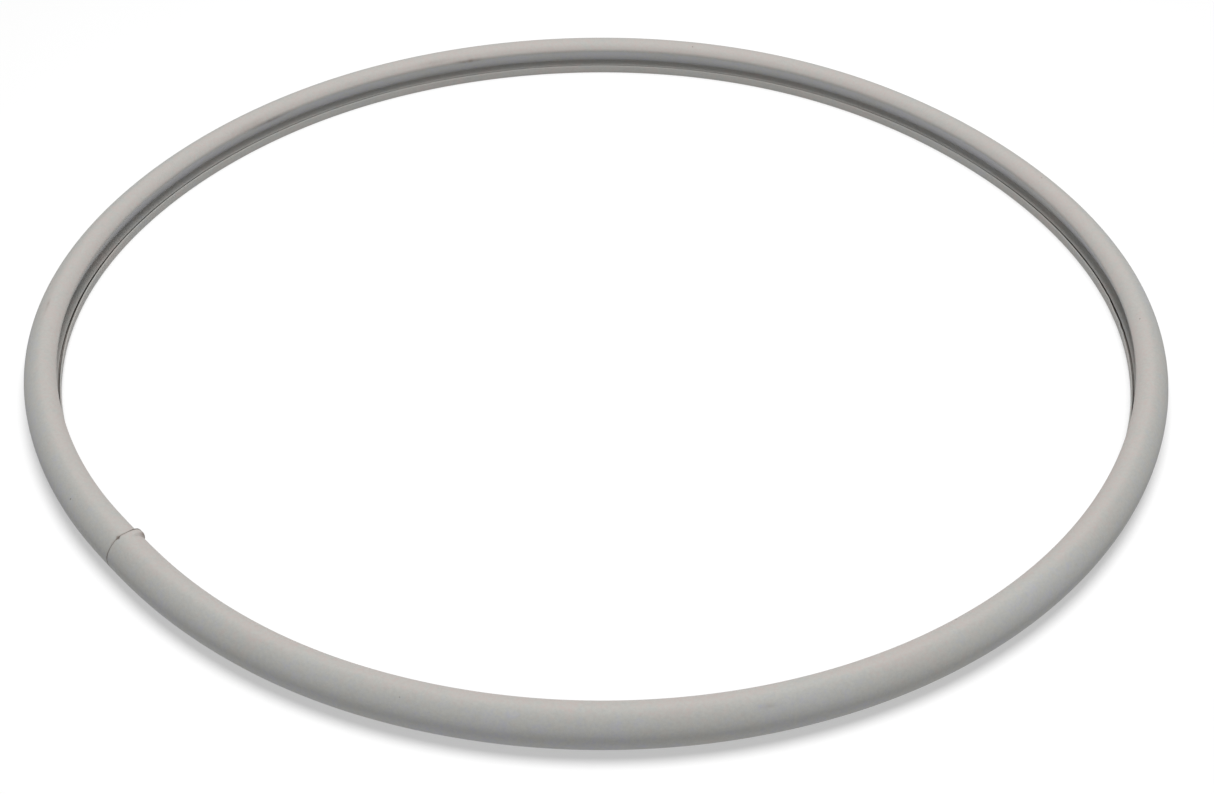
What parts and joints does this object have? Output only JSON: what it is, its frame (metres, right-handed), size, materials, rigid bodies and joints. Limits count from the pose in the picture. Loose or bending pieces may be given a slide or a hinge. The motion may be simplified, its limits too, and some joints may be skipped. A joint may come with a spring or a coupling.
{
  "type": "pressure cooker sealing ring",
  "caption": "Round elastomer lid gasket: a strip with a crowned bead, a rounded inner nose and a thin lip backed by a slit, joined end to end by a cured splice.",
  "frame": {"origin": "centre of the ring, on the plane that its underside rests on", "axes": "+Z along the ring's axis, from the flat underside and lip towards the crowned side; the splice lies at 221.8 degrees from +X towards +Y"},
  "size_m": [0.234, 0.234, 0.0087],
  "materials": {
    "elastomer": "matt light warm grey silicone rubber with a fine mottled bloom",
    "cured_splice": "matt brown-grey cured splice film"
  },
  "bodies": {
    "root": {"sealing_ring": "elastomer", "splice_bond": "cured_splice"}
  },
  "joints": []
}
